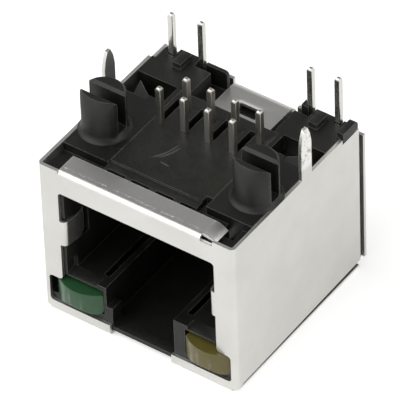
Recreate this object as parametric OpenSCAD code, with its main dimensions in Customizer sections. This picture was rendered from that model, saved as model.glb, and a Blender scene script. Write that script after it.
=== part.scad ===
// Shielded right-angle board jack with two indicator lights, lying on its flat side with the pins up.
// The plug opening faces -Y, the circuit board goes on from +Z, and the latch slot is near z = 0.
// Pieces: a folded sheet-metal shield, a moulded housing, a contact insert with eight formed
// contacts, and two indicator lights, each a moulded lens on a chip and two long leads.

/* [Shield] */
// Width across the two side plates
shield_w = 16.3; // [15.9:0.1:17.5]
// Depth from the front panel to the back of the rear plate
shield_d = 16; // [15.6:0.1:18]
// Height from the flat plate to the board-side edges of the side plates
shield_h = 13.6; // [13.4:0.1:15]
// Thickness of the sheet metal
sheet_t = 0.25; // [0.2:0.05:0.3]
// Outside radius of the bends round the front panel
bend_r = 0.4; // [0.35:0.05:0.6]
// Outside radius of the bend between the flat plate and the rear plate
rear_bend_r = 0.7; // [0.5:0.05:1]
// Height of the turned-up long edges of the flat plate
edge_h = 0.5; // [0.4:0.05:0.7]
// Gap left between a side plate and a neighbouring plate
seam_gap = 0.1; // [0.05:0.05:0.2]
// Extra rise of the side plates' lower edges at their rear ends
seam_rise = 0.25; // [0:0.05:0.4]
// Gap between the side plates' rear edges and the rear plate
rear_gap = 0.5; // [0.3:0.05:0.7]
// Width of the front panel left at each side of the plug window
window_side = 1.65; // [1.5:0.05:1.8]
// Distance from the top of the window to the board-side edge of the front panel
window_top_margin = 2; // [1.8:0.1:2.2]
// Width of the front panel left at each side of the light windows
light_window_side = 0.5; // [0.45:0.05:0.6]
// Height of the strip of sheet below the light windows
strip_h = 1; // [0.9:0.05:1.1]
// Height of the light windows
light_window_h = 2.4; // [2.2:0.1:2.6]
// Width of the gap in the strip, in front of the latch slot
strip_gap_w = 5.2; // [4.8:0.1:5.4]
// How far the strip's gap runs into the flat plate
strip_gap_d = 0.9; // [0.7:0.05:1.1]
// Corner radius of the windows
window_r = 0.3; // [0.1:0.05:0.4]

/* [Shield lip, fingers, strap and tabs] */
// Width of the front panel left at each side of the lip
lip_side = 1.7; // [1.6:0.05:1.9]
// Depth of the lip behind the front panel
lip_d = 1.92; // [1.7:0.02:2]
// Radius of the curl at the right end of the lip
lip_curl_r = 1.5; // [1.2:0.1:2]
// Height of each earthing finger in the window
finger_h = 2.2; // [1.8:0.1:2.4]
// Height of the fingers' middle above the flat plate
finger_z = 7.8; // [7.4:0.1:8.2]
// How far each finger reaches into the window
finger_reach = 0.5; // [0.4:0.05:0.6]
// Length of each finger behind the front panel
finger_len = 2.2; // [1.8:0.1:2.8]
// Width of the strap folded from the rear plate onto the board side
strap_w = 4.9; // [4:0.1:5.6]
// Depth of the strap below the board side
strap_drop = 1.45; // [1.2:0.05:1.6]
// Gap between the contact insert and the strap's front edge
strap_gap = 0.75; // [0.5:0.05:0.9]
// Outside radius of the bend between the strap and the rear plate
strap_bend_r = 0.9; // [0.6:0.05:1]
// Width of the raised hood lanced from the strap
hood_w = 1.9; // [1.5:0.1:2.4]
// Height of the raised hood above the strap
hood_h = 0.42; // [0.3:0.02:0.6]
// Width of each solder tab
tab_w = 1.2; // [1:0.1:1.6]
// Length of the right solder tab beyond the side plate
tab_l = 4.35; // [3.6:0.05:4.8]
// How much shorter the left solder tab is
tab_short = 0.3; // [0:0.05:0.5]
// Distance from the front panel to the middle of the right solder tab
tab_y = 8.9; // [8.6:0.1:9.2]
// How much further forward the left solder tab stands
tab_step = 0.45; // [0:0.05:0.6]
// Length of the notches in the side plates for the housing's ears
ear_l = 2; // [1.6:0.1:2.2]
// Depth of those notches
ear_drop = 0.4; // [0.3:0.05:0.5]

/* [Housing] */
// Clearance between the housing and the shield round it
housing_clear = 0.03; // [0.02:0.01:0.08]
// Distance from the side of the shield to the plug opening
port_side = 2.2; // [2.1:0.05:2.25]
// Height of the shoulders that the plug slides on
shoulder_z = 4.15; // [4:0.05:4.3]
// Room between the insert's comb leg and the back of the plug opening
port_back = 0.15; // [0.1:0.05:0.3]
// Depth of the lead-in slopes round the opening
lead_in_d = 0.85; // [0.6:0.05:1]
// Distance that the lead-in slopes open to each side
lead_in = 0.3; // [0.15:0.05:0.4]
// Height of the latch slot's floor
slot_floor_z = 0.95; // [0.9:0.05:1.05]
// Distance between the left lens and the latch slot
slot_wall_left = 0.25; // [0.2:0.05:0.3]
// Distance between the right lens and the latch slot
slot_wall_right = 1; // [0.9:0.05:1.05]
// Height of the latch stops beside the slot
stop_h = 1.45; // [1.2:0.05:1.6]
// Width of the latch stop at the left of the slot
stop_w = 0.5; // [0.3:0.05:0.6]
// Thickness of the latch slot's side ribs behind the front wall
slot_rib_t = 0.45; // [0.35:0.05:0.5]
// Distance from the front panel to the front edge of the board face
board_face_y = 2.7; // [2.6:0.05:2.8]
// Depth of the front corner recesses below the board face
corner_drop = 0.7; // [0.5:0.05:0.9]
// Height of the stand-off teeth above the board face
standoff_h = 0.45; // [0.35:0.05:0.6]

/* [Board pegs] */
// Distance from the side of the shield to a peg's middle
peg_side = 1.8; // [1.78:0.01:1.9]
// Distance from the front panel to the pegs' middles
peg_y = 5.5; // [5.3:0.05:5.6]
// Diameter of the pegs
peg_d = 3.2; // [3:0.05:3.25]
// Length of the pegs above the board face
peg_l = 3.35; // [3:0.05:3.8]
// Width of the slot that splits each peg
peg_slot = 0.95; // [0.7:0.05:1]
// Width and height of the chamfer round the top of each peg
peg_chamfer = 0.15; // [0.1:0.05:0.3]
// Length of the lead-in slope down the front of each peg
peg_slope_l = 1.3; // [1:0.05:1.6]
// How far the lead-in slope leans back over that length
peg_slope_in = 0.48; // [0.3:0.02:0.6]
// Diameter of the flared foot of each peg
foot_d = 3.84; // [3.6:0.02:3.9]
// Height of the flared foot
foot_h = 0.45; // [0.3:0.05:0.6]

/* [Contacts] */
// Distance between neighbouring contacts across the jack
contact_pitch = 1.016; // [1:0.004:1.02]
// Distance from the front panel to the front row of contact tails
front_row_y = 8.2; // [8:0.05:8.3]
// Distance between the two rows of contact tails
row_gap = 1.78; // [1.7:0.02:1.9]
// Width and thickness of a contact tail
contact_w = 0.45; // [0.4:0.01:0.5]
// Length of the contact tails beyond the board face
tail_l = 3; // [2.6:0.1:3.4]
// Depth of the contacts' runs below the board face
run_drop = 1.2; // [1:0.05:1.3]
// Outside radius of the contacts' front loops
loop_r = 0.6; // [0.55:0.01:0.65]
// Downward angle of the spring beams
beam_angle = 21; // [18:0.5:23]
// Clearance between a contact and the insert round it
contact_clear = 0.03; // [0.02:0.01:0.05]

/* [Contact insert] */
// Thickness of the insert outside the outer contacts
insert_side = 0.27; // [0.2:0.01:0.35]
// Distance from the rear row of tails to the back of the insert
insert_back = 1.47; // [1.4:0.01:1.6]
// Gap between the shield's lip and the insert
insert_gap = 0.18; // [0.1:0.02:0.24]
// Clearance between the insert and the housing
insert_clear = 0.03; // [0.02:0.01:0.06]
// Thickness of the insert's deck
insert_t = 2.35; // [2.3:0.05:2.4]
// Width of the stepped strip along the insert's front edge
insert_strip_w = 0.9; // [0.7:0.05:1]
// Thickness of the comb leg at the back of the insert
comb_t = 1.1; // [0.9:0.05:1.2]
// Height of the comb leg below the deck
comb_h = 4.4; // [4.2:0.1:4.8]

/* [Lights] */
// Width of each lens
lens_w = 3.9; // [3.8:0.05:3.95]
// Height of each lens
lens_h = 1.8; // [1.7:0.05:1.85]
// How far the lens bulges out of the front panel
lens_bulge = 0.5; // [0.3:0.05:0.7]
// Distance from the front panel to the back of the lens
lens_back_y = 3.6; // [3.2:0.1:4]
// Distance from the side of the shield to the left lens
lens_side_left = 1; // [0.9:0.01:1.02]
// Distance from the side of the shield to the right lens
lens_side_right = 0.55; // [0.54:0.01:0.6]
// Distance from the side of the shield to the outer leads
lead_side = 1.29; // [1.25:0.01:1.32]
// Distance between the two leads of each light
lead_pitch = 2.29; // [2.2:0.01:2.3]
// Width of each lead
lead_w = 0.45; // [0.4:0.01:0.5]
// Distance from the back of the rear plate to the upright leads' middles
lead_back = 1.25; // [1.2:0.05:1.4]
// Length of the left upright leads beyond the board face
lead_l = 3.65; // [3.4:0.05:4]
// How much longer the right outer lead is
lead_extra = 0.4; // [0:0.05:0.5]
// How far the left outer lead stands in front of the others
lead_stray = 0.35; // [0:0.05:0.4]
// Side of the light-emitting chip
chip_w = 0.35; // [0.25:0.01:0.4]

/* [Hidden] */
$fn = 32;
over = 1;                                    // how far a cut runs past the faces it opens

// Shield
half_w = shield_w / 2;
mid_y = (shield_d - lens_bulge) / 2;         // middle of the whole part from front to back
side_end_y = shield_d - sheet_t - rear_gap;  // rear edges of the side plates
rear_h = shield_h - strap_drop;              // top of the rear plate and of the strap
window_w = shield_w - 2 * window_side;
light_window_w = shield_w - 2 * light_window_side;
window_top = shield_h - window_top_margin;
light_window_top = strip_h + light_window_h;
lip_end = half_w - lip_side;
lip_flat_end = lip_end - lip_curl_r * sin(45); // where the lip's right end starts to curl
curl_drop = 0.15;                            // room under the curl's start
tab_taper_l = 0.33 * tab_l;
tab_tip_half = 0.15 * tab_w;
ear_y = side_end_y - ear_l;                  // front of the notches for the housing's ears
relief = sheet_t;                            // small clearance cut beside a bend

// Contact insert
insert_half = 3.5 * contact_pitch + contact_w / 2 + insert_side;
insert_y0 = lip_d + insert_gap;
insert_y1 = front_row_y + row_gap + insert_back;
deck_z = shield_h - insert_t;                // underside of the deck
strip_step = 0.15;                           // how far the front strip lies below the board face
strip_z = shield_h - strip_step;
strip_notch = 0.5;                           // notch at the right end of the front strip
strip_notch_l = 0.6;
tongue_l = 0.5;                              // tongues that rest on steps in the housing
tongue_t = 0.6;
tongue_z0 = deck_z + tongue_t / 2;
tongue_z1 = tongue_z0 + tongue_t;
comb_z = deck_z - comb_h;
comb_slot_w = 1.45 * contact_w;
comb_slot_d = 0.73 * comb_t;
groove_h = 0.9;                              // depth of the grooves behind the front row of tails
groove_end = 0.8;                            // solid left behind those grooves
front_slot_d = 0.2;                          // depth of the openings along the front edge

// Strap
strap_y = insert_y1 + strap_gap;             // front edge of the strap
strap_l = shield_d - strap_y;
hood_y0 = strap_y + 0.38 * strap_l;
hood_y1 = strap_y + 0.565 * strap_l;
hood_hole_y = strap_y + 0.21 * strap_l;

// Housing
hx = half_w - sheet_t - housing_clear;       // half width between the side plates
front_y = sheet_t + housing_clear;           // front face, behind the front panel
under_z = sheet_t + housing_clear;           // underside, above the flat plate
back_y = shield_d - sheet_t - housing_clear; // back face, in front of the rear plate
board_z = shield_h;                          // board face, level with the side plates
seat_z = board_z + standoff_h;               // plane on which the circuit board lies
port_half = half_w - port_side;
port_d = insert_y1 + port_back;
port_top = deck_z;
wall_y = front_y + lead_in_d + relief;       // back of the front wall and of the latch stop
lip_clear_z = board_z - sheet_t - housing_clear;
corner_z = board_z - corner_drop;
corner_in = 0.55;
corner_x = lip_end - corner_in;              // inner side of the front corner recesses
pit_w = 1.2;                                 // pit in the right front corner recess
pit_h = 2.1;
pit_y0 = board_face_y - pit_w;
pit_x1 = corner_x + pit_w;
pit_z = board_z - pit_h;
notch_z = rear_h - sheet_t - housing_clear;  // floor of the notch under the strap
notch_left = strap_w / 2 + 0.95;              // notch round the strap, to each side
notch_right = strap_w / 2 + 1.2;
notch_y = insert_y1;
finger_pocket_w = 0.65;
finger_pocket_end = 0.4;
finger_pocket_d = finger_len + finger_pocket_end;
finger_pocket_gap = 0.15;                    // room above and below each finger
rear_top_y = shield_d - lead_back + 0.25;     // back face above the rear plate

// Pockets behind the pegs, each with a wedge at its front that slopes down towards the side plate
pocket_in = 0.4;
pocket_x0 = insert_half + pocket_in;
pocket_w = 1.7;
pocket_y1 = insert_y1 + 0.1;
pocket_y0 = pocket_y1 - pocket_w;
pocket_h = 3;
pocket_z = board_z - pocket_h;
wedge_in = 1.25;
wedge_out = 2.7;
wedge_x0 = pocket_x0 + wedge_in;
wedge_x1 = pocket_x0 + wedge_out;
wedge_y0 = pocket_y0 - 0.4;
wedge_y1 = pocket_y0 + 1.05;
wedge_tilt = 38;
wedge_drop = 0.1;                            // ridge of the wedge below the board face

// Pegs
peg_r = peg_d / 2;
foot_r = foot_d / 2;
peg_root_r = 0.7 * peg_r;                    // the part that runs down into the housing
slot_chamfer = 0.2;
slope_r = 1.65 * peg_r;                      // radius of the leaning round that forms the slope
slope_angle = atan(peg_slope_in / peg_slope_l);

// Lights
lens_clear = 0.05;
cell_floor = 0.5;
lens_z = strip_h + cell_floor + lens_clear;  // underside of each lens
cell_z0 = lens_z - lens_clear;
cell_roof = 0.4;
cell_z1 = shoulder_z - cell_roof;
cell_side = 0.18;
cell_out = hx - cell_side;
lens_left_x = half_w - lens_side_left - lens_w / 2;
lens_right_x = half_w - lens_side_right - lens_w / 2;
lead_y = shield_d - lead_back;
lead_z = lens_z + lens_h / 2;
lead_l0 = 1.4;                               // length of the leads inside the lens
lead_start_y = lens_back_y - lead_l0;
lead_bend_r = 0.5;
lead_out_x = half_w - lead_side;
lead_in_x = lead_out_x - lead_pitch;
lead_clear = 0.06;
groove_half = lead_w / 2 + lead_clear;
chip_h = 0.2;
chip_gap = 0.1;                              // from the end of the lead to the chip
lens_round = 0.4;                            // rounding along the lens's lower front edges
lens_top_round = 0.2;                        // rounding of its upper side edges

// Latch slot
slot_left = lens_left_x - lens_w / 2 - slot_wall_left;
slot_right = lens_right_x - lens_w / 2 - slot_wall_right;
shoulder_in_left = 0.75;
shoulder_in_right = 1.2;
shoulder_left_x = slot_left + shoulder_in_left;    // inner ends of the shoulders' slopes
shoulder_right_x = slot_right + shoulder_in_right;

// Teeth, ear and thin wall beside the upright leads
tooth_y0 = lead_y - 1.55;
tooth_y1 = lead_y - 0.15;
tooth_mid_x = lead_in_x + lead_pitch / 2;
tooth_mid_w = 0.31 * lead_pitch;
post_w = 0.6;                                // thin post beside the right inner lead
post_y = lead_y - 0.35;
ear_w = 0.55;
ear_gap = 0.1;
ear_r = 0.35;
ear_y0 = ear_y + relief / 2;
ear_y1 = side_end_y - ear_gap;
ear_z = board_z - ear_drop + relief / 2;
edge_pare = 0.3;                             // step along the left edge, where no ear stands
wall_t = 0.28;
wall_drop = 0.1;
wall_end_x = strap_w / 2 + housing_clear;
well_side = 0.25;                            // room beside the inner leads
well_y = lead_y - 0.7;

// Contacts: each is one strip bent in the plane x = its own place
tail_bend_r = contact_w;
run_z = board_z - run_drop;
loop_y = insert_y0 + contact_w + loop_r;
loop_mid_r = loop_r - contact_w / 2;
beam_start = [loop_y - loop_mid_r * sin(beam_angle),
              run_z - loop_mid_r - loop_mid_r * cos(beam_angle)];
beam_end_y = insert_y1 - comb_t + comb_slot_d / 2;
beam_end = [beam_end_y, beam_start[1] - (beam_end_y - beam_start[0]) * tan(beam_angle)];
slot_half = contact_w / 2 + contact_clear;
tip_l = 0.2;                                 // length of the pointed tips of tails and leads
tip_half = 0.12;                             // half width at the very end of a tip

function unit(v) = v / norm(v);
function arc(c, r, a0, a1, n = 8) =
    [for (i = [0:n]) let (a = a0 + (a1 - a0) * i / n) c + r * [cos(a), sin(a)]];
function path_normal(p, i) =
    let (d = unit(p[min(i + 1, len(p) - 1)] - p[max(i - 1, 0)])) [-d[1], d[0]];
function path_side(p, d) = [for (i = [0:len(p) - 1]) p[i] + d * path_normal(p, i)];
function reversed(p) = [for (i = [len(p) - 1:-1:0]) p[i]];
function contact_x(i) = (i - 3.5) * contact_pitch;
function tail_y(i) = i % 2 == 0 ? front_row_y : front_row_y + row_gap;
// how much a square edge must lose to clear a bend of outside radius r
function edge_cut(r) = 0.6 * (r - sheet_t) + 0.04;

// A strip of thickness t that follows a path of points
module strip(path, t) {
    polygon(concat(path_side(path, t / 2), reversed(path_side(path, -t / 2))));
}

// A box between two corners
module block(lo, hi) {
    translate(lo) cube(hi - lo);
}

// Extrudes a (y, z) profile across the jack, between two x values
module across(x0, x1) {
    translate([x0, 0, 0]) rotate([90, 0, 90]) linear_extrude(x1 - x0) children();
}

// Extrudes an (x, z) profile from front to back, between two y values
module deep(y0, y1) {
    translate([0, y1, 0]) rotate([90, 0, 0]) linear_extrude(y1 - y0) children();
}

// Draws its children at both sides of the jack
module both_sides() {
    children();
    mirror([1, 0, 0]) children();
}

// A rectangle with four round corners
module round_rect(lo, hi, r) {
    translate([lo[0] + r, lo[1]]) square([hi[0] - lo[0] - 2 * r, hi[1] - lo[1]]);
    translate([lo[0], lo[1] + r]) square([hi[0] - lo[0], hi[1] - lo[1] - 2 * r]);
    for (x = [lo[0] + r, hi[0] - r], y = [lo[1] + r, hi[1] - r])
        translate([x, y]) circle(r);
}

// A quarter ring of sheet round the origin, in the quadrant of -x and -y
module bend_2d(r) {
    intersection() {
        difference() {
            circle(r);
            circle(r - sheet_t);
        }
        translate([-r, -r]) square(r);
    }
}

// A ridge that pares the edge of a block: a square turned by 45 degrees
module edge_2d(cut) {
    rotate(45) square(cut * sqrt(2), center = true);
}

// ---- Shield: one sheet of plated metal, cut out flat and folded round the housing ----

// Front panel with both side plates bent from its upright edges
module shield_wrap() {
    translate([0, 0, bend_r]) linear_extrude(shield_h - bend_r) {
        both_sides() {
            translate([-half_w, bend_r]) square([sheet_t, side_end_y - bend_r]);
            translate([-half_w + bend_r, bend_r]) bend_2d(bend_r);
        }
        translate([-half_w + bend_r, 0]) square([shield_w - 2 * bend_r, sheet_t]);
    }
}

// Cut that frees the side plates from the flat plate, rising a little to the rear
module seam_cut() {
    both_sides()
        across(half_w - sheet_t - over, half_w + over)
            polygon([
                [bend_r + relief, -over], [side_end_y + over, -over],
                [side_end_y + over, edge_h + seam_gap + seam_rise],
                [bend_r + relief, edge_h + seam_gap]
            ]);
}

// Flat plate with its turned-up long edges, the bends at its ends and the rear plate
module shield_flat() {
    inner_half = half_w - edge_h;
    across(-inner_half, inner_half) {
        translate([bend_r, bend_r]) bend_2d(bend_r);
        translate([bend_r, 0]) square([shield_d - bend_r - rear_bend_r, sheet_t]);
        translate([shield_d - rear_bend_r, rear_bend_r]) mirror([1, 0]) bend_2d(rear_bend_r);
    }
    both_sides()
        deep(bend_r + relief, shield_d - rear_bend_r - relief)
            translate([-inner_half, edge_h]) bend_2d(edge_h);
    difference() {
        block([-half_w, shield_d - sheet_t, rear_bend_r], [half_w, shield_d, rear_h]);
        block([-strap_w / 2 - relief, shield_d - sheet_t - over, rear_h - strap_bend_r],
              [strap_w / 2 + relief, shield_d + over, rear_h + over]);
    }
}

// Strap from the rear plate over the board side, with its lanced hood
module shield_strap() {
    hood_half = hood_w / 2;
    difference() {
        across(-strap_w / 2, strap_w / 2) {
            translate([shield_d - strap_bend_r, rear_h - strap_bend_r])
                mirror([1, 0]) mirror([0, 1]) bend_2d(strap_bend_r);
            translate([strap_y, rear_h - sheet_t]) square([strap_l - strap_bend_r, sheet_t]);
        }
        block([-hood_half, hood_hole_y, rear_h - sheet_t - over], [hood_half, hood_y1, rear_h + over]);
    }
    across(-hood_half, hood_half)
        polygon([
            [hood_y0, rear_h + hood_h - sheet_t], [hood_y1, rear_h - sheet_t],
            [hood_y1, rear_h], [hood_y0, rear_h + hood_h]
        ]);
    both_sides()
        across(hood_half - sheet_t, hood_half)
            polygon([
                [hood_y0, rear_h - sheet_t], [hood_y1, rear_h - sheet_t],
                [hood_y1, rear_h], [hood_y0, rear_h + hood_h]
            ]);
}

// Lip folded rearwards from the front panel, with its curled right end
module shield_lip() {
    across(-lip_end, lip_flat_end) {
        translate([bend_r, shield_h - bend_r]) mirror([0, 1]) bend_2d(bend_r);
        translate([bend_r, shield_h - sheet_t]) square([lip_d - bend_r, sheet_t]);
    }
    deep(bend_r, lip_d)
        translate([lip_flat_end, shield_h - lip_curl_r])
            strip(arc([0, 0], lip_curl_r - sheet_t / 2, 90, 45), sheet_t);
}

// One earthing finger, bent inwards from the edge of the window and sprung towards the plug
module shield_finger() {
    root_x = window_w / 2;
    wall_x = root_x - finger_reach + sheet_t / 2;
    bow = 0.12;
    translate([0, 0, finger_z - finger_h / 2]) linear_extrude(finger_h) {
        translate([root_x - finger_reach + bend_r, bend_r]) bend_2d(bend_r);
        translate([root_x - finger_reach + bend_r, 0])
            square([finger_reach - bend_r + sheet_t, sheet_t]);
        strip([
            [wall_x, bend_r], [wall_x - 0.2 * bow, bend_r + relief],
            [wall_x - bow, 0.7 * finger_len], [wall_x + bow, finger_len]
        ], sheet_t);
    }
}

// Solder tab that rises from the top edge of the right side plate
module shield_tab(y, l) {
    half = tab_w / 2;
    straight = l - tab_taper_l;
    across(half_w - sheet_t, half_w)
        translate([y, shield_h])
            polygon([
                [-half, -over], [half, -over], [half, straight],
                [0.75 * half, straight + 0.55 * tab_taper_l], [tab_tip_half, l],
                [-tab_tip_half, l], [-0.75 * half, straight + 0.55 * tab_taper_l],
                [-half, straight]
            ]);
}

// Window for the plug, windows for the lights, and the gap in the strip below
module shield_windows() {
    deep(-over, 2 * sheet_t) {
        round_rect([-window_w / 2, strip_h], [window_w / 2, window_top], window_r);
        round_rect([-light_window_w / 2, strip_h], [light_window_w / 2, light_window_top],
                   window_r);
        // the sheet's corners between the windows are rounded too
        both_sides()
            difference() {
                translate([window_w / 2 - window_r, light_window_top - window_r])
                    square(2 * window_r);
                translate([window_w / 2 + window_r, light_window_top + window_r])
                    circle(window_r);
            }
    }
    block([-strip_gap_w / 2, -over, -over],
          [strip_gap_w / 2, strip_gap_d, strip_h + window_r]);
}

module shield() color([0.82, 0.82, 0.8]) {
    difference() {
        shield_wrap();
        seam_cut();
        shield_windows();
        // the lip's bend takes the place of the panel's square edge
        block([-lip_end, -over, shield_h - bend_r], [lip_end, bend_r, shield_h + over]);
        both_sides()
            block([half_w - sheet_t - over, ear_y, shield_h - ear_drop],
                  [half_w + over, side_end_y + over, shield_h + over]);
    }
    difference() {
        shield_flat();
        shield_windows();
    }
    shield_strap();
    shield_lip();
    both_sides() shield_finger();
    shield_tab(tab_y, tab_l);
    mirror([1, 0, 0]) shield_tab(tab_y - tab_step, tab_l - tab_short);
}

// ---- Housing: one moulding that holds the insert, the lights and the shield ----

// Outer block, its square edges pared where the shield's bends pass
module housing_block() {
    difference() {
        block([-hx, front_y, under_z], [hx, back_y, board_z]);
        both_sides() {
            translate([hx, front_y, under_z - over])
                linear_extrude(board_z - under_z + 2 * over) edge_2d(edge_cut(bend_r));
            deep(front_y - over, back_y + over)
                translate([hx, under_z]) edge_2d(edge_cut(edge_h));
        }
        across(-hx - over, hx + over) {
            translate([front_y, under_z]) edge_2d(edge_cut(bend_r));
            translate([back_y, under_z]) edge_2d(edge_cut(rear_bend_r));
        }
    }
}

// Plug opening, shoulders with their lead-in slopes, latch slot and finger pockets
module port_cuts() {
    slope_y1 = front_y + lead_in_d;
    block([-port_half, front_y - over, shoulder_z], [port_half, port_d, port_top + over]);
    block([-slot_left, front_y - over, slot_floor_z], [slot_right, port_d, shoulder_z + over]);
    // slopes at both sides of the opening
    translate([0, 0, shoulder_z]) linear_extrude(port_top - shoulder_z)
        both_sides()
            polygon([
                [0, front_y - over], [port_half + 2 * lead_in, front_y - over],
                [port_half + lead_in, front_y], [port_half, slope_y1], [0, slope_y1]
            ]);
    // slopes on the shoulders and in front of the latch slot's floor
    for (x = [[-port_half - lead_in, -shoulder_left_x], [shoulder_right_x, port_half + lead_in]])
        across(x[0], x[1])
            polygon([
                [front_y - over, shoulder_z - lead_in], [front_y, shoulder_z - lead_in],
                [slope_y1, shoulder_z], [slope_y1, shoulder_z + over],
                [front_y - over, shoulder_z + over]
            ]);
    across(-slot_left, slot_right)
        polygon([
            [front_y - over, slot_floor_z - lead_in], [front_y, slot_floor_z - 0.7 * lead_in],
            [slope_y1, slot_floor_z], [slope_y1, slot_floor_z + over],
            [front_y - over, slot_floor_z + over]
        ]);
    both_sides()
        block([port_half - over, front_y - over, finger_z - finger_h / 2 - finger_pocket_gap],
              [port_half + finger_pocket_w, finger_pocket_d,
               finger_z + finger_h / 2 + finger_pocket_gap]);
    // grooves that leave a rib at each side of the latch slot behind the front wall
    block([-slot_left - 2 * slot_rib_t, wall_y, slot_floor_z + stop_h],
          [-slot_left - slot_rib_t, port_d, shoulder_z + over]);
    block([slot_right + slot_rib_t, wall_y, slot_floor_z + stop_h],
          [slot_right + 2 * slot_rib_t, port_d, shoulder_z + over]);
}

// Cells for the lenses and the channels that take the leads to the back
module light_cuts() {
    cell_y1 = lens_back_y + lens_clear;
    block([-cell_out, front_y - over, cell_z0],
          [-lens_left_x + lens_w / 2 + lens_clear, cell_y1, cell_z1]);
    block([lens_right_x - lens_w / 2 - lens_clear, front_y - over, cell_z0],
          [cell_out, cell_y1, cell_z1]);
    for (x = [-lead_out_x, -lead_in_x, lead_in_x, lead_out_x]) {
        block([x - groove_half, cell_y1 - over, lead_z - groove_half],
              [x + groove_half, back_y + over, lead_z + groove_half]);
        block([x - groove_half, lead_y - groove_half, lead_z - groove_half],
              [x + groove_half, back_y + over, board_z + over]);
        block([x - groove_half, lead_y - lead_bend_r, lead_z],
              [x + groove_half, lead_y, lead_z + lead_bend_r]);
    }
    block([-lead_out_x - groove_half, lead_y - lead_stray - groove_half, lead_z - groove_half],
          [-lead_out_x + groove_half, lead_y, board_z + over]);
    block([-lead_out_x - groove_half, lead_y - lead_stray - lead_bend_r, lead_z],
          [-lead_out_x + groove_half, lead_y, lead_z + lead_bend_r]);
}

// Opening that takes the contact insert, with a step for the tongue at each end
module insert_cuts() {
    half = insert_half + insert_clear;
    block([-half, insert_y0 - insert_clear, deck_z - over],
          [half, insert_y1 + insert_clear, board_z + over]);
    block([-half, insert_y0 - tongue_l - insert_clear, tongue_z0],
          [half, insert_y0 + over, board_z + over]);
    block([-half, insert_y1 - over, tongue_z0],
          [half, insert_y1 + tongue_l + insert_clear, notch_z + over]);
}

// Recesses round the shield's lip at the front, pit in the right corner, notch under the strap
module top_cuts() {
    block([-corner_x, front_y - over, lip_clear_z], [corner_x, insert_y0, board_z + over]);
    block([lip_flat_end - relief, front_y - over, lip_clear_z - curl_drop],
          [corner_x + over, insert_y0, board_z + over]);
    across(-hx - over, hx + over) {
        translate([front_y, lip_clear_z]) edge_2d(edge_cut(bend_r));
        translate([back_y, notch_z]) edge_2d(edge_cut(strap_bend_r));
    }
    both_sides() {
        block([corner_x, front_y - over, corner_z], [hx + over, board_face_y, board_z + over]);
        block([insert_half, insert_y0, corner_z], [corner_x + over, board_face_y, board_z + over]);
    }
    block([corner_x, pit_y0, pit_z], [pit_x1, board_face_y, board_z + over]);
    block([-notch_left, notch_y, notch_z], [notch_right, back_y + over, board_z + over]);
}

// One pocket behind a peg, open to the side plate, with the wedge at its front
module pocket_cut() {
    difference() {
        union() {
            block([pocket_x0, pocket_y0, pocket_z], [hx + over, pocket_y1, board_z + over]);
            block([wedge_x0, wedge_y0, pocket_z], [hx + over, pocket_y0 + over, board_z + over]);
        }
        intersection() {
            translate([0, 0, pocket_z - over]) linear_extrude(pocket_h + 2 * over)
                polygon([
                    [wedge_x0, wedge_y0 - over], [wedge_x1, wedge_y0 - over],
                    [wedge_x1, wedge_y1], [wedge_x0, pocket_y0]
                ]);
            translate([wedge_x0, pocket_y0, board_z - wedge_drop])
                rotate([0, 0, atan2(wedge_y1 - pocket_y0, wedge_x1 - wedge_x0)])
                    rotate([wedge_tilt, 0, 0])
                        translate([-shield_w / 2, -shield_w / 2, -shield_w])
                            cube(shield_w);
        }
    }
}

// Split peg that locates the jack in the circuit board, on a flared foot. Its front leans back
// at the top, so that the board finds it, and the slot lets its halves spring together.
module board_peg() {
    translate([half_w - peg_side, peg_y, board_z]) {
        translate([0, 0, -over]) cylinder(h = over + foot_h, r = peg_root_r);
        intersection() {
            rotate_extrude()
                polygon([
                    [0, 0], [foot_r, 0], [(foot_r + peg_r) / 2, foot_h / 4], [peg_r, foot_h],
                    [0, foot_h]
                ]);
            translate([-peg_d, -peg_d, 0]) cube([peg_d + peg_side, 2 * peg_d, foot_h]);
        }
        difference() {
            intersection() {
                rotate_extrude()
                    polygon([
                        [0, 0], [peg_r, 0], [peg_r, peg_l - peg_chamfer],
                        [peg_r - peg_chamfer, peg_l], [0, peg_l]
                    ]);
                translate([0, -peg_r, peg_l - peg_slope_l]) rotate([-slope_angle, 0, 0])
                    translate([0, slope_r, -peg_l]) cylinder(h = 3 * peg_l, r = slope_r);
            }
            across(-peg_d, peg_d)
                polygon([
                    [-peg_slot / 2, standoff_h], [peg_slot / 2, standoff_h],
                    [peg_slot / 2, peg_l - slot_chamfer],
                    [peg_slot / 2 + slot_chamfer + over, peg_l + over],
                    [-peg_slot / 2 - slot_chamfer - over, peg_l + over],
                    [-peg_slot / 2, peg_l - slot_chamfer]
                ]);
        }
    }
}

// Teeth between the upright leads, post beside the right inner lead, and ear over the right plate
module rear_teeth() {
    both_sides()
        block([tooth_mid_x - tooth_mid_w / 2, tooth_y0, board_z - over],
              [tooth_mid_x + tooth_mid_w / 2, tooth_y1, seat_z]);
    block([lead_in_x - post_w, post_y, notch_z - over], [lead_in_x, rear_top_y, seat_z]);
    across(half_w - ear_w, half_w) {
        translate([ear_y0, ear_z]) square([ear_y1 - ear_r - ear_y0, seat_z - ear_z]);
        translate([ear_y0, ear_z]) square([ear_y1 - ear_y0, seat_z - ear_r - ear_z]);
        translate([ear_y1 - ear_r, seat_z - ear_r]) circle(ear_r);
    }
}

// Cuts above the rear plate: the set-back rear face, the wells round the inner leads, and the
// step along the left edge
module rear_cuts() {
    block([-hx - over, rear_top_y, notch_z], [hx + over, back_y + over, board_z + over]);
    block([-lead_in_x - well_side, well_y, notch_z], [lead_in_x + well_side, back_y, board_z + over]);
    block([-hx - over, ear_y0, board_z - ear_drop], [edge_pare - hx, rear_top_y + over, board_z + over]);
}

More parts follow.
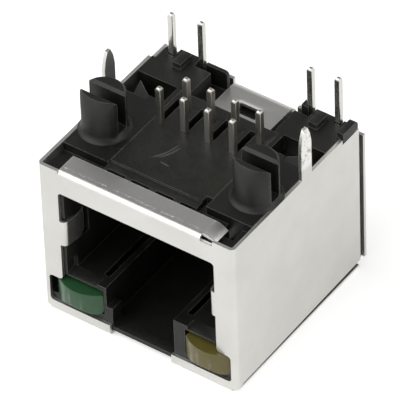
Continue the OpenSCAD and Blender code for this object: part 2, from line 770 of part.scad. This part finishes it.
// Thin wall across the left part of the strap's notch, with a round upper corner
module rear_wall() {
    top = board_z - wall_drop;
    x0 = groove_half - lead_in_x;
    deep(rear_top_y - wall_t, rear_top_y) {
        translate([x0, notch_z - over])
            square([-wall_end_x - x0, top - window_r - notch_z + over]);
        translate([x0, notch_z - over])
            square([-wall_end_x - window_r - x0, top - notch_z + over]);
        translate([-wall_end_x - window_r, top - window_r]) circle(window_r);
    }
}

module housing() color([0.17, 0.17, 0.17]) {
    difference() {
        union() {
            difference() {
                housing_block();
                top_cuts();
                port_cuts();
                rear_cuts();
                both_sides() pocket_cut();
            }
            both_sides() board_peg();
            rear_teeth();
            rear_wall();
            block([-slot_left - slot_wall_left / 2, front_y, slot_floor_z - lead_in],
                  [-slot_left + stop_w, wall_y, slot_floor_z + stop_h]);
        }
        insert_cuts();
        light_cuts();
    }
}

// ---- Contact insert: moulded deck with a comb leg, cut out for the eight contacts ----

// Everything that one contact needs: slot from below, hole for the tail, slot in the comb
module contact_slot(i) {
    y = tail_y(i);
    translate([contact_x(i), 0, 0]) {
        block([-slot_half, loop_y - loop_r - slot_half, comb_z - over],
              [slot_half, y + slot_half, run_z + slot_half]);
        block([-slot_half, y - slot_half, comb_z - over], [slot_half, y + slot_half, board_z + over]);
        block([-slot_half, y - tail_bend_r, run_z], [slot_half, y, run_z + tail_bend_r]);
        block([-comb_slot_w / 2, insert_y1 - comb_t - over, comb_z - over],
              [comb_slot_w / 2, insert_y1 - comb_t + comb_slot_d, deck_z - 0.01]);
    }
}

module contact_insert() color([0.15, 0.15, 0.15]) {
    difference() {
        union() {
            block([-insert_half, insert_y0, deck_z], [insert_half, insert_y1, board_z]);
            block([-insert_half, insert_y1 - comb_t, comb_z], [insert_half, insert_y1, deck_z]);
            block([-insert_half, insert_y0 - tongue_l, tongue_z0],
                  [insert_half, insert_y0, tongue_z1]);
            block([-insert_half, insert_y1, tongue_z0],
                  [insert_half, insert_y1 + tongue_l, min(tongue_z1, notch_z)]);
        }
        block([-insert_half - over, insert_y0 - over, strip_z],
              [insert_half + over, insert_y0 + insert_strip_w, board_z + over]);
        // notch at the right end of the front strip
        block([insert_half - strip_notch, insert_y0 - over, strip_z - strip_notch],
              [insert_half + over, insert_y0 + insert_strip_w + strip_notch_l, board_z + over]);
        for (i = [0:7]) contact_slot(i);
        // grooves behind the front row of tails
        for (i = [0:2:6])
            block([contact_x(i) - slot_half, tail_y(i), board_z - groove_h],
                  [contact_x(i) + slot_half, insert_y1 - groove_end, board_z + over]);
        // four openings along the front edge, each in front of two loops
        for (i = [0:2:6])
            block([contact_x(i) - slot_half, insert_y0 - over, tongue_z1],
                  [contact_x(i + 1) + slot_half, insert_y0 + front_slot_d, board_z + over]);
    }
}

// ---- Contacts: drawn, plated wire bent to a tail, a run, a loop and a spring beam ----

module contact(i) color([0.72, 0.7, 0.66]) {
    y = tail_y(i);
    half = contact_w / 2;
    tip_z = board_z + tail_l;
    translate([contact_x(i), 0, 0])
        intersection() {
            across(-half, half)
                strip(concat(
                    [[y, tip_z]],
                    arc([y - tail_bend_r, run_z + tail_bend_r], tail_bend_r, 0, -90, 6),
                    arc([loop_y, run_z - loop_mid_r], loop_mid_r, 90, 270 - beam_angle, 10),
                    [beam_end]), contact_w);
            deep(-over, shield_d)
                polygon([
                    [-half, -over], [half, -over], [half, tip_z - tip_l], [tip_half, tip_z],
                    [-tip_half, tip_z], [-half, tip_z - tip_l]
                ]);
            union() {
                block([-over, -over, -over], [over, shield_d, run_z + over]);
                across(-over, over)
                    translate([y, 0])
                        polygon([
                            [-half, run_z], [half, run_z], [half, tip_z - tip_l],
                            [tip_half, tip_z], [-tip_half, tip_z], [-half, tip_z - tip_l]
                        ]);
            }
        }
}

// ---- Lights: each a moulded lens round a chip and the ends of two long leads ----

module lens_body() {
    r = (lens_w * lens_w / 4 + (lens_bulge + front_y) * (lens_bulge + front_y))
        / (2 * (lens_bulge + front_y));
    intersection() {
        translate([0, 0, lens_z]) linear_extrude(lens_h) {
            translate([-lens_w / 2, front_y]) square([lens_w, lens_back_y - front_y]);
            intersection() {
                translate([0, r - lens_bulge]) circle(r, $fn = 96);
                translate([-lens_w / 2, -over]) square([lens_w, over + front_y + relief]);
            }
        }
        across(-lens_w, lens_w) {
            translate([lens_round - lens_bulge, lens_z])
                square([lens_back_y + lens_bulge, lens_h]);
            translate([-lens_bulge, lens_z + lens_round]) square([lens_w, lens_h]);
            translate([lens_round - lens_bulge, lens_z + lens_round]) circle(lens_round);
        }
        deep(-over, lens_back_y) {
            both_sides() {
                translate([-over / 2, lens_z]) square([lens_w / 2 - lens_round + over / 2, lens_h]);
                translate([0, lens_z + lens_round])
                    square([lens_w / 2, lens_h - lens_round - lens_top_round]);
                translate([0, lens_z + lens_round])
                    square([lens_w / 2 - lens_top_round, lens_h - lens_round]);
                translate([lens_w / 2 - lens_round, lens_z + lens_round]) circle(lens_round);
                translate([lens_w / 2 - lens_top_round, lens_z + lens_h - lens_top_round])
                    circle(lens_top_round);
            }
        }
    }
}

// A lens with the hollows that hold the ends of its leads and its chip
module lens(x) {
    difference() {
        translate([x, 0, 0]) lens_body();
        for (s = [-1, 1]) lead(s * lead_in_x * sign(x));
        for (s = [-1, 1]) lead(s * lead_out_x * sign(x));
        chip(sign(x));
    }
}

module lead(x, y = lead_y, l = lead_l) color([0.75, 0.75, 0.73]) {
    half = lead_w / 2;
    tip_z = board_z + l;
    translate([x, 0, 0])
        intersection() {
            across(-half, half)
                strip(concat(
                    [[lead_start_y, lead_z]],
                    arc([y - lead_bend_r, lead_z + lead_bend_r], lead_bend_r, -90, 0, 6),
                    [[y, tip_z]]), lead_w);
            deep(-over, shield_d)
                polygon([
                    [-half, -over], [half, -over], [half, tip_z - tip_l], [tip_half, tip_z],
                    [-tip_half, tip_z], [-half, tip_z - tip_l]
                ]);
            across(-over, over)
                polygon([
                    [-over, -over], [shield_d, -over], [shield_d, board_z],
                    [y + half, tip_z - tip_l], [y + tip_half, tip_z],
                    [y - tip_half, tip_z], [y - half, tip_z - tip_l], [-over, board_z]
                ]);
        }
}

// Light-emitting chip bonded on top of the inner lead's end
module chip(side) color([0.9, 0.85, 0.5]) {
    x = side * lead_in_x;
    y = lead_start_y + chip_gap;
    z = lead_z + lead_w / 2;
    block([x - chip_w / 2, y, z], [x + chip_w / 2, y + chip_w, z + chip_h]);
}

module placed() {
    translate([0, -mid_y, 0]) children();
}

placed() shield();
placed() housing();
placed() contact_insert();
placed() contact(0);  // contact_1
placed() contact(1);  // contact_2
placed() contact(2);  // contact_3
placed() contact(3);  // contact_4
placed() contact(4);  // contact_5
placed() contact(5);  // contact_6
placed() contact(6);  // contact_7
placed() contact(7);  // contact_8
placed() color([0.2, 0.35, 0.2]) lens(-lens_left_x);  // lens_green
placed() color([0.4, 0.38, 0.15]) lens(lens_right_x);  // lens_yellow
placed() lead(-lead_in_x);  // lead_green_inner
placed() lead(-lead_out_x, lead_y - lead_stray);  // lead_green_outer
placed() lead(lead_in_x, lead_y, lead_l + lead_extra / 2);  // lead_yellow_inner
placed() lead(lead_out_x, lead_y, lead_l + lead_extra);  // lead_yellow_outer
placed() chip(-1);  // chip_green
placed() chip(1);  // chip_yellow
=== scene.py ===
import math

import bmesh
import bpy
from mathutils import Matrix, Vector


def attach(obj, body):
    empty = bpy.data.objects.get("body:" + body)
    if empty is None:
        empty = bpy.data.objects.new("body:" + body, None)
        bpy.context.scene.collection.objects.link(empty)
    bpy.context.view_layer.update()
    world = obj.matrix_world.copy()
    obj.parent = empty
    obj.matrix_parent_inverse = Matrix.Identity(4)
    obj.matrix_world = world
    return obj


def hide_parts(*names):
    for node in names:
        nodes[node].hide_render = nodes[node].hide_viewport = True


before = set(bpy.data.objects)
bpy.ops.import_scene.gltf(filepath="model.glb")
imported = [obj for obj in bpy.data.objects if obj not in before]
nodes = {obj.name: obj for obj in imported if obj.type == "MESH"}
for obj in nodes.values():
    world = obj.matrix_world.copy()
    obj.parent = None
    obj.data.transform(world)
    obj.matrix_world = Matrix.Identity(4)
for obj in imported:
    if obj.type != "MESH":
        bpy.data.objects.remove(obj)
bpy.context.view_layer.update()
scene = bpy.context.scene
MM = 0.001

# ---------------------------------------------------------------------------
# Camera.
# A long lens on a stand, looking down on the board side from the front right, turned a little
# about its own axis.
# ---------------------------------------------------------------------------
CAMERA_AT = Vector((179.289, -244.334, 288.641)) * MM
CAMERA_FORWARD = Vector((-0.43440, 0.59162, -0.67917))
CAMERA_ROLL = math.radians(-2.174)
CAMERA_LENS = 537.2
SENSOR = 36.0


def look_matrix(at, forward, roll=0.0):
    """A camera or lamp at a point, looking along forward, turned about its own axis by roll."""
    forward = forward.normalized()
    right = forward.cross(Vector((0, 0, 1))).normalized()
    up = right.cross(forward)
    r = right * math.cos(roll) + up * math.sin(roll)
    u = up * math.cos(roll) - right * math.sin(roll)
    m = Matrix((r, u, -forward)).transposed().to_4x4()
    m.translation = at
    return m


camera_data = bpy.data.cameras.new("camera")
camera_data.lens = CAMERA_LENS
camera_data.sensor_width = SENSOR
camera_data.clip_start = 0.01
camera_data.clip_end = 10
camera = bpy.data.objects.new("camera", camera_data)
camera.matrix_world = look_matrix(CAMERA_AT, CAMERA_FORWARD, CAMERA_ROLL)
scene.collection.objects.link(camera)
scene.camera = camera
scene.view_settings.view_transform = "Standard"

# ---------------------------------------------------------------------------
# Table.
# A matt white laminate table top. It stays white to the camera and in what mirrors it, and takes
# only the soft shadow where the jack stands on it.
# ---------------------------------------------------------------------------
FLOOR_HALF = 0.6
FLOOR_SEEN = 0.5  # what the table adds to itself where the camera sees it
FLOOR_MIRRORED = 0.28


def linear(hex_colour):
    """A colour written as sRGB hex, as the linear numbers that a shader takes."""
    out = []
    for i in (0, 2, 4):
        c = int(hex_colour[i : i + 2], 16) / 255
        out.append(c / 12.92 if c <= 0.04045 else ((c + 0.055) / 1.055) ** 2.4)
    return (*out, 1.0)


def add(tree, kind, links=None, **settings):
    """Adds a node with its settings; links maps an input's name to a value or to an output."""
    node = tree.nodes.new(kind)
    for key, value in settings.items():
        setattr(node, key, value)
    for key, value in (links or {}).items():
        socket = node.inputs[key]
        if isinstance(value, bpy.types.NodeSocket):
            tree.links.new(value, socket)
        else:
            socket.default_value = value
    return node


def new_material(name):
    """An empty node material and its tree."""
    material = bpy.data.materials.new(name)
    material.use_nodes = True
    material.node_tree.nodes.clear()
    return material, material.node_tree


mesh = bpy.data.meshes.new("floor")
c = FLOOR_HALF
mesh.from_pydata([(-c, -c, 0), (c, -c, 0), (c, c, 0), (-c, c, 0)], [], [(0, 1, 2, 3)])
floor = bpy.data.objects.new("floor", mesh)
scene.collection.objects.link(floor)
material, tree = new_material("white_table")
path = add(tree, "ShaderNodeLightPath")
mirrored = add(tree, "ShaderNodeMath", {0: path.outputs["Is Glossy Ray"],
                                        1: path.outputs["Is Transmission Ray"]},
               operation="ADD")
mirrored = add(tree, "ShaderNodeMath", {0: mirrored.outputs[0], 1: FLOOR_MIRRORED},
               operation="MULTIPLY")
seen = add(tree, "ShaderNodeMath", {0: path.outputs["Is Camera Ray"], 1: FLOOR_SEEN},
           operation="MULTIPLY")
glow = add(tree, "ShaderNodeMath", {0: mirrored.outputs[0], 1: seen.outputs[0]},
           operation="ADD")
diffuse = add(tree, "ShaderNodeBsdfDiffuse", {"Color": linear("E6E6E4")})
emission = add(tree, "ShaderNodeEmission", {"Color": (1, 1, 1, 1), "Strength": glow.outputs[0]})
total = add(tree, "ShaderNodeAddShader", {0: diffuse.outputs[0], 1: emission.outputs[0]})
add(tree, "ShaderNodeOutputMaterial", {"Surface": total.outputs[0]})
mesh.materials.append(material)

# ---------------------------------------------------------------------------
# Tent and lamps.
# A round tent of white cloth with a dark top: upright sheets mirror its bright foot, upward faces
# its dark top. A big soft key lamp stands front left, a weak fill lamp on the right.
# ---------------------------------------------------------------------------
# Brightness of the cloth: each height (0 is level, 1 is overhead) and its level
TENT = ((0.0, 0.95), (0.3, 0.7), (0.5, 0.28), (0.8, 0.2), (1.0, 0.45))
LAMPS_AIM = (0, 0, 0.008)
# Each lamp: its place, its side and its power in watts
KEY = ((-0.25, -0.35, 0.45), 0.8, 3.8)
FILL = ((0.45, 0.05, 0.3), 0.35, 0.8)

world = bpy.data.worlds.new("tent")
scene.world = world
world.use_nodes = True
tree = world.node_tree
tree.nodes.clear()
where = add(tree, "ShaderNodeTexCoord")
split = add(tree, "ShaderNodeSeparateXYZ", {0: where.outputs["Generated"]})
cloth = add(tree, "ShaderNodeValToRGB", {"Fac": split.outputs["Z"]})
stops = cloth.color_ramp.elements
stops[0].position = TENT[0][0]
stops[0].color = (*[TENT[0][1]] * 3, 1)
stops[1].position = TENT[-1][0]
stops[1].color = (*[TENT[-1][1]] * 3, 1)
for height, level in TENT[1:-1]:
    stop = stops.new(height)
    stop.color = (level, level, level, 1)
background = add(tree, "ShaderNodeBackground", {"Color": cloth.outputs["Color"], "Strength": 1.0})
add(tree, "ShaderNodeOutputWorld", {"Surface": background.outputs[0]})


def area_light(name, at, side, watts):
    """A square soft lamp aimed at the jack."""
    data = bpy.data.lights.new(name, "AREA")
    data.shape = "RECTANGLE"
    data.size = side
    data.size_y = side
    data.energy = watts
    lamp = bpy.data.objects.new(name, data)
    at = Vector(at)
    lamp.matrix_world = look_matrix(at, Vector(LAMPS_AIM) - at)
    scene.collection.objects.link(lamp)


area_light("key", *KEY)
area_light("fill", *FILL)

# ---------------------------------------------------------------------------
# Shield.
# One blank of tin-plated steel 0.25 mm thick, stamped and folded round the housing: satin, cool
# white metal with faint clouds, a painted highlight along its bends and cut edges, solder on one
# tab.
# ---------------------------------------------------------------------------
SHIELD_EDGE = 0.04
WELD_MM = 0.002
SHARP_ANGLE = 35  # edges sharper than this, in degrees, are rounded
SHEET_CLOUD_MM = 3.0
SHEET_GRAIN_MM = 0.12
SOLDER_PIT_MM = 0.42
SOLDER_FROM_X = 7.85  # from this x outwards
SOLDER_FROM_Z = 14.2
LIP_WEAR_Y = -7.12  # the line along the lip where the bending tool slid
LIP_WEAR_Z = 13.3
LIP_WEAR_MM = 0.07
# width of the painted highlight along the sheet's sharp edges and bends
SHEET_HIGHLIGHT_EDGE_MM = 0.09


def dressed(node, material, edge_mm, segments=2, merge=True):
    """A copy of a solid with its sharp edges rounded a little, as tools and moulds leave them."""
    source = nodes[node]
    mesh = source.data.copy()
    mesh.name = node + "_form"
    piece = bpy.data.objects.new(node + "_form", mesh)
    scene.collection.objects.link(piece)
    bm = bmesh.new()
    bm.from_mesh(mesh)
    bmesh.ops.remove_doubles(bm, verts=bm.verts, dist=WELD_MM * MM)
    if merge:  # joins the triangles of flat faces; deep slots close together don't bear it
        bmesh.ops.dissolve_limit(bm, angle_limit=math.radians(1), verts=bm.verts, edges=bm.edges)
    for face in bm.faces:
        face.smooth = True
    bm.to_mesh(mesh)
    bm.free()
    if mesh.has_custom_normals:
        with bpy.context.temp_override(object=piece, active_object=piece):
            bpy.ops.mesh.customdata_custom_splitnormals_clear()
    mesh.materials.clear()
    mesh.materials.append(material)
    bevel = piece.modifiers.new("edges", "BEVEL")
    bevel.width = edge_mm * MM
    bevel.segments = segments
    bevel.limit_method = "ANGLE"
    bevel.angle_limit = math.radians(SHARP_ANGLE)
    bevel.use_clamp_overlap = True
    bevel.miter_outer = "MITER_ARC"
    flat = piece.modifiers.new("flat_faces", "WEIGHTED_NORMAL")
    flat.mode = "FACE_AREA"
    flat.weight = 100
    flat.keep_sharp = True
    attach(piece, "root")
    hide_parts(node)
    return piece


# Mask for the painted highlight on sharp edges, used on the sheet and on the mouldings
def edge_highlight_mask(tree, width_mm, breaks):
    """1 on sharp edges, broken up by a noise between 0 and 1."""
    round_off = add(tree, "ShaderNodeBevel", {"Radius": width_mm * MM}, samples=6)
    flat = add(tree, "ShaderNodeNewGeometry")
    same = add(tree, "ShaderNodeVectorMath", {0: round_off.outputs["Normal"],
                                              1: flat.outputs["Normal"]},
               operation="DOT_PRODUCT")
    edge = add(tree, "ShaderNodeMapRange", {"Value": same.outputs["Value"], "From Min": 0.99,
                                            "From Max": 0.86})
    # noise that breaks the painted edge highlight into patches
    rubbed = add(tree, "ShaderNodeMapRange", {"Value": breaks, "From Min": 0.3, "From Max": 0.52})
    return add(tree, "ShaderNodeMath", {0: edge.outputs["Result"], 1: rubbed.outputs["Result"]},
               operation="MULTIPLY")


def sheet_material():
    # bright tin plate: its fine grain blurs what it mirrors, soft clouds shift its tone; the tool
    # left a line of small marks along the lip, and one tab carries a rough, pitted coat of solder
    material, tree = new_material("tin_plated_sheet")
    where = add(tree, "ShaderNodeTexCoord").outputs["Object"]
    place = add(tree, "ShaderNodeSeparateXYZ", {0: where})
    cloud = add(tree, "ShaderNodeTexNoise", {"Vector": where, "Scale": 1 / (SHEET_CLOUD_MM * MM),
                                             "Detail": 3.0, "Roughness": 0.5})
    grain = add(tree, "ShaderNodeTexNoise", {"Vector": where, "Scale": 1 / (SHEET_GRAIN_MM * MM),
                                             "Detail": 3.0, "Roughness": 0.65})
    pits = add(tree, "ShaderNodeTexNoise", {"Vector": where, "Scale": 1 / (SOLDER_PIT_MM * MM),
                                            "Detail": 4.0, "Roughness": 0.7})
    clouded = add(tree, "ShaderNodeMapRange", {"Value": cloud.outputs["Fac"], "From Min": 0.3,
                                               "From Max": 0.7})
    plate = add(tree, "ShaderNodeMix", {"Factor": clouded.outputs["Result"],
                                        "A": linear("D8D7D3"), "B": linear("E0DFDC")},
                data_type="RGBA")
    pitted = add(tree, "ShaderNodeMapRange", {"Value": pits.outputs["Fac"], "From Min": 0.34,
                                              "From Max": 0.46})
    solder = add(tree, "ShaderNodeMix", {"Factor": pitted.outputs["Result"],
                                         "A": linear("96938A"), "B": linear("F4F3EF")},
                 data_type="RGBA")
    high = add(tree, "ShaderNodeMapRange", {"Value": place.outputs["Z"],
                                            "From Min": SOLDER_FROM_Z * MM,
                                            "From Max": (SOLDER_FROM_Z + 0.4) * MM})
    side = add(tree, "ShaderNodeMath", {0: place.outputs["X"], 1: SOLDER_FROM_X * MM},
               operation="GREATER_THAN")
    on_tab = add(tree, "ShaderNodeMath", {0: high.outputs["Result"], 1: side.outputs[0]},
                 operation="MULTIPLY")
    tone = add(tree, "ShaderNodeMix", {"Factor": on_tab.outputs[0],
                                       "A": plate.outputs["Result"],
                                       "B": solder.outputs["Result"]}, data_type="RGBA")
    from_line = add(tree, "ShaderNodeMath", {0: place.outputs["Y"], 1: LIP_WEAR_Y * MM,
                                             2: LIP_WEAR_MM * MM}, operation="COMPARE")
    on_lip = add(tree, "ShaderNodeMath", {0: place.outputs["Z"], 1: LIP_WEAR_Z * MM},
                 operation="GREATER_THAN")
    line = add(tree, "ShaderNodeMath", {0: from_line.outputs[0], 1: on_lip.outputs[0]},
               operation="MULTIPLY")
    specks = add(tree, "ShaderNodeMapRange", {"Value": grain.outputs["Fac"], "From Min": 0.5,
                                              "From Max": 0.6})
    line = add(tree, "ShaderNodeMath", {0: line.outputs[0], 1: specks.outputs["Result"]},
               operation="MULTIPLY")
    # painted highlight: sharp edges and bends turn less metallic, so they read paler than the plate
    edges = edge_highlight_mask(tree, SHEET_HIGHLIGHT_EDGE_MM, grain.outputs["Fac"])
    worn = add(tree, "ShaderNodeMath", {0: line.outputs[0], 1: edges.outputs[0]},
               operation="MAXIMUM")
    metal = add(tree, "ShaderNodeMapRange", {"Value": worn.outputs[0], "To Min": 1.0,
                                             "To Max": 0.35})
    rough = add(tree, "ShaderNodeMapRange", {"Value": grain.outputs["Fac"], "From Min": 0.3,
                                             "From Max": 0.7, "To Min": 0.32, "To Max": 0.44})
    fine = add(tree, "ShaderNodeBump", {"Height": grain.outputs["Fac"], "Strength": 0.1,
                                        "Distance": 0.01 * MM})
    lumps = add(tree, "ShaderNodeMath", {0: pits.outputs["Fac"], 1: on_tab.outputs[0]},
                operation="MULTIPLY")
    bump = add(tree, "ShaderNodeBump", {"Height": lumps.outputs[0], "Strength": 0.6,
                                        "Distance": 0.12 * MM, "Normal": fine.outputs["Normal"]})
    shader = add(tree, "ShaderNodeBsdfPrincipled", {"Base Color": tone.outputs["Result"],
                                                    "Metallic": metal.outputs["Result"],
                                                    "Roughness": rough.outputs["Result"],
                                                    "Normal": bump.outputs["Normal"]})
    add(tree, "ShaderNodeOutputMaterial", {"Surface": shader.outputs[0]})
    return material


dressed("shield", sheet_material(), SHIELD_EDGE, 3)

# ---------------------------------------------------------------------------
# Housing and contact insert.
# Two black mouldings of glass-filled polyester, the insert pressed into the housing from the
# board side: matt with a soft sheen and a fine speckle, rubbed lines on the insert, painted
# highlight on the edges.
# ---------------------------------------------------------------------------
HOUSING_EDGE = 0.06
PLASTIC_GRAIN_MM = 0.16
PLASTIC_FLOW_MM = 1.6
# width of the painted highlight along the mouldings' sharp edges
PLASTIC_HIGHLIGHT_EDGE_MM = 0.08
# Each rubbed line: its middle, length, angle in degrees and how far it bows
SCUFFS_MM = ((-1.3, -2.1, 2.5, 66, -0.35), (-1.0, -2.0, 2.0, 66, -0.3), (-0.7, -3.1, 0.9, -6, 0.0))


def scuff(tree, place, x, y, length, angle, bow):
    """1 along a thin, slightly bowed line on the board face, where something rubbed the moulding."""
    turn = math.radians(angle)
    shifted = add(tree, "ShaderNodeVectorMath", {0: place, 1: (x * MM, y * MM, 0.0)},
                  operation="SUBTRACT")
    turned = add(tree, "ShaderNodeVectorRotate", {"Vector": shifted.outputs[0], "Angle": -turn},
                 rotation_type="Z_AXIS")
    at = add(tree, "ShaderNodeSeparateXYZ", {0: turned.outputs[0]})
    along = add(tree, "ShaderNodeMath", {0: at.outputs["X"], 1: 2.0}, operation="POWER")
    along_abs = add(tree, "ShaderNodeMath", {0: at.outputs["X"]}, operation="ABSOLUTE")
    bowed = add(tree, "ShaderNodeMath", {0: along.outputs[0], 1: bow / (length * MM)},
                operation="MULTIPLY")
    off = add(tree, "ShaderNodeMath", {0: at.outputs["Y"], 1: bowed.outputs[0]}, operation="ADD")
    off = add(tree, "ShaderNodeMath", {0: off.outputs[0]}, operation="ABSOLUTE")
    near = add(tree, "ShaderNodeMapRange", {"Value": off.outputs[0], "From Min": 0.03 * MM,
                                            "From Max": 0.09 * MM, "To Min": 1.0, "To Max": 0.0})
    ends = add(tree, "ShaderNodeMapRange", {"Value": along_abs.outputs[0],
                                            "From Min": 0.3 * length * MM,
                                            "From Max": 0.5 * length * MM,
                                            "To Min": 1.0, "To Max": 0.0})
    return add(tree, "ShaderNodeMath", {0: near.outputs["Result"], 1: ends.outputs["Result"]},
               operation="MULTIPLY")


def plastic_material(name, dark, pale, scuffs=()):
    # black glass-filled polyester: matt, speckled by its fibres, paler along rubbed lines, with a
    # painted highlight on its edges
    material, tree = new_material(name)
    where = add(tree, "ShaderNodeTexCoord").outputs["Object"]
    flow = add(tree, "ShaderNodeTexNoise", {"Vector": where, "Scale": 1 / (PLASTIC_FLOW_MM * MM),
                                            "Detail": 5.0, "Roughness": 0.65})
    grain = add(tree, "ShaderNodeTexNoise", {"Vector": where,
                                             "Scale": 1 / (PLASTIC_GRAIN_MM * MM),
                                             "Detail": 3.0, "Roughness": 0.65})
    both = add(tree, "ShaderNodeMix", {"Factor": 0.5, "A": flow.outputs["Fac"],
                                       "B": grain.outputs["Fac"]}, data_type="FLOAT")
    level = add(tree, "ShaderNodeMapRange", {"Value": both.outputs["Result"], "From Min": 0.36,
                                             "From Max": 0.64})
    tone = add(tree, "ShaderNodeMix", {"Factor": level.outputs["Result"], "A": linear(dark),
                                       "B": linear(pale)}, data_type="RGBA")
    # painted highlight: sharp edges are mixed towards a pale grey
    edges = edge_highlight_mask(tree, PLASTIC_HIGHLIGHT_EDGE_MM, flow.outputs["Fac"])
    tone = add(tree, "ShaderNodeMix", {"Factor": edges.outputs[0], "A": tone.outputs["Result"],
                                       "B": linear("6A6A62")}, data_type="RGBA")
    for x, y, length, angle, bow in scuffs:
        line = scuff(tree, where, x, y, length, angle, bow)
        worn = add(tree, "ShaderNodeMath", {0: line.outputs[0], 1: flow.outputs["Fac"]},
                   operation="MULTIPLY")
        tone = add(tree, "ShaderNodeMix", {"Factor": worn.outputs[0],
                                           "A": tone.outputs["Result"],
                                           "B": linear("66665F")}, data_type="RGBA")
    rough = add(tree, "ShaderNodeMapRange", {"Value": grain.outputs["Fac"], "From Min": 0.3,
                                             "From Max": 0.7, "To Min": 0.34, "To Max": 0.56})
    bump = add(tree, "ShaderNodeBump", {"Height": grain.outputs["Fac"], "Strength": 0.45,
                                        "Distance": 0.02 * MM})
    shader = add(tree, "ShaderNodeBsdfPrincipled", {"Base Color": tone.outputs["Result"],
                                                    "Roughness": rough.outputs["Result"],
                                                    "IOR": 1.5,
                                                    "Specular IOR Level": 0.42,
                                                    "Normal": bump.outputs["Normal"]})
    add(tree, "ShaderNodeOutputMaterial", {"Surface": shader.outputs[0]})
    return material


black_plastic = plastic_material("black_polyester_moulded", "090908", "1B1B18")
insert_plastic = plastic_material("black_polyester_insert", "0A0A08", "25251F", SCUFFS_MM)
dressed("housing", black_plastic, HOUSING_EDGE)
dressed("contact_insert", insert_plastic, HOUSING_EDGE, merge=False)

# ---------------------------------------------------------------------------
# Contacts and leads.
# Eight contacts of tinned bronze strip pressed into the insert, and the four plated leads of the
# two lights, let into the housing: bright, with fine drawn lines along their length.
# ---------------------------------------------------------------------------
WIRE_EDGE = 0.05
WIRE_LINE_MM = 0.07


def wire_material(name, dull, bright, roughness):
    # drawn, plated wire: fine lines along it break up its highlights, brighter than the sheet
    material, tree = new_material(name)
    where = add(tree, "ShaderNodeTexCoord")
    stretch = add(tree, "ShaderNodeMapping", {"Vector": where.outputs["Object"],
                                              "Scale": (1.0, 1.0, 0.12)})
    lines = add(tree, "ShaderNodeTexNoise", {"Vector": stretch.outputs["Vector"],
                                             "Scale": 1 / (WIRE_LINE_MM * MM),
                                             "Detail": 3.0, "Roughness": 0.6})
    rough = add(tree, "ShaderNodeMapRange", {"Value": lines.outputs["Fac"],
                                             "To Min": roughness - 0.06,
                                             "To Max": roughness + 0.08})
    tone = add(tree, "ShaderNodeMix", {"Factor": lines.outputs["Fac"], "A": linear(dull),
                                       "B": linear(bright)}, data_type="RGBA")
    bump = add(tree, "ShaderNodeBump", {"Height": lines.outputs["Fac"], "Strength": 0.2,
                                        "Distance": 0.008 * MM})
    shader = add(tree, "ShaderNodeBsdfPrincipled", {"Base Color": tone.outputs["Result"],
                                                    "Metallic": 1.0,
                                                    "Roughness": rough.outputs["Result"],
                                                    "Normal": bump.outputs["Normal"]})
    add(tree, "ShaderNodeOutputMaterial", {"Surface": shader.outputs[0]})
    return material


contact_wire = wire_material("tinned_contact_wire", "C9C6BD", "D6D3CA", 0.3)
lead_wire = wire_material("plated_lead_wire", "D8D7D2", "E6E5E0", 0.25)
for number in range(1, 9):
    dressed("contact_%d" % number, contact_wire, WIRE_EDGE)
for light in ("green", "yellow"):
    for place in ("inner", "outer"):
        dressed("lead_%s_%s" % (light, place), lead_wire, WIRE_EDGE)

# ---------------------------------------------------------------------------
# Lenses and chips.
# Two blocks of tinted, slightly milky epoxy cast round the leads and slid into the housing's
# cells; the chips inside them are sawn dice bonded to the leads.
# ---------------------------------------------------------------------------
LENS_EDGE = 0.12
EPOXY_CLOUD_MM = 0.8
CHIP_EDGE = 0.01
CHIP_SPECK_MM = 0.05


def lens_material(name, deep, pale):
    # cast epoxy: tinted all through, a little milky, glossy skin
    material, tree = new_material(name)
    where = add(tree, "ShaderNodeTexCoord")
    cloud = add(tree, "ShaderNodeTexNoise", {"Vector": where.outputs["Object"],
                                             "Scale": 1 / (EPOXY_CLOUD_MM * MM), "Detail": 3.0})
    rough = add(tree, "ShaderNodeMapRange", {"Value": cloud.outputs["Fac"],
                                             "To Min": 0.18, "To Max": 0.3})
    tone = add(tree, "ShaderNodeMix", {"Factor": cloud.outputs["Fac"], "A": linear(deep),
                                       "B": linear(pale)}, data_type="RGBA")
    shader = add(tree, "ShaderNodeBsdfPrincipled", {"Base Color": tone.outputs["Result"],
                                                    "Roughness": rough.outputs["Result"],
                                                    "IOR": 1.5,
                                                    "Transmission Weight": 0.35})
    add(tree, "ShaderNodeOutputMaterial", {"Surface": shader.outputs[0]})
    return material


def chip_material():
    # sawn die: pale and faintly speckled by the saw
    material, tree = new_material("sawn_chip")
    where = add(tree, "ShaderNodeTexCoord")
    speck = add(tree, "ShaderNodeTexNoise", {"Vector": where.outputs["Object"],
                                             "Scale": 1 / (CHIP_SPECK_MM * MM)})
    tone = add(tree, "ShaderNodeMix", {"Factor": speck.outputs["Fac"], "A": linear("B8A24A"),
                                       "B": linear("D8CC88")}, data_type="RGBA")
    shader = add(tree, "ShaderNodeBsdfPrincipled", {"Base Color": tone.outputs["Result"],
                                                    "Roughness": 0.4})
    add(tree, "ShaderNodeOutputMaterial", {"Surface": shader.outputs[0]})
    return material


dressed("lens_green", lens_material("green_epoxy", "2F5A38", "356640"), LENS_EDGE, 3)
dressed("lens_yellow", lens_material("yellow_epoxy", "6A6130", "786E37"), LENS_EDGE, 3)
chip = chip_material()
dressed("chip_green", chip, CHIP_EDGE)
dressed("chip_yellow", chip, CHIP_EDGE)
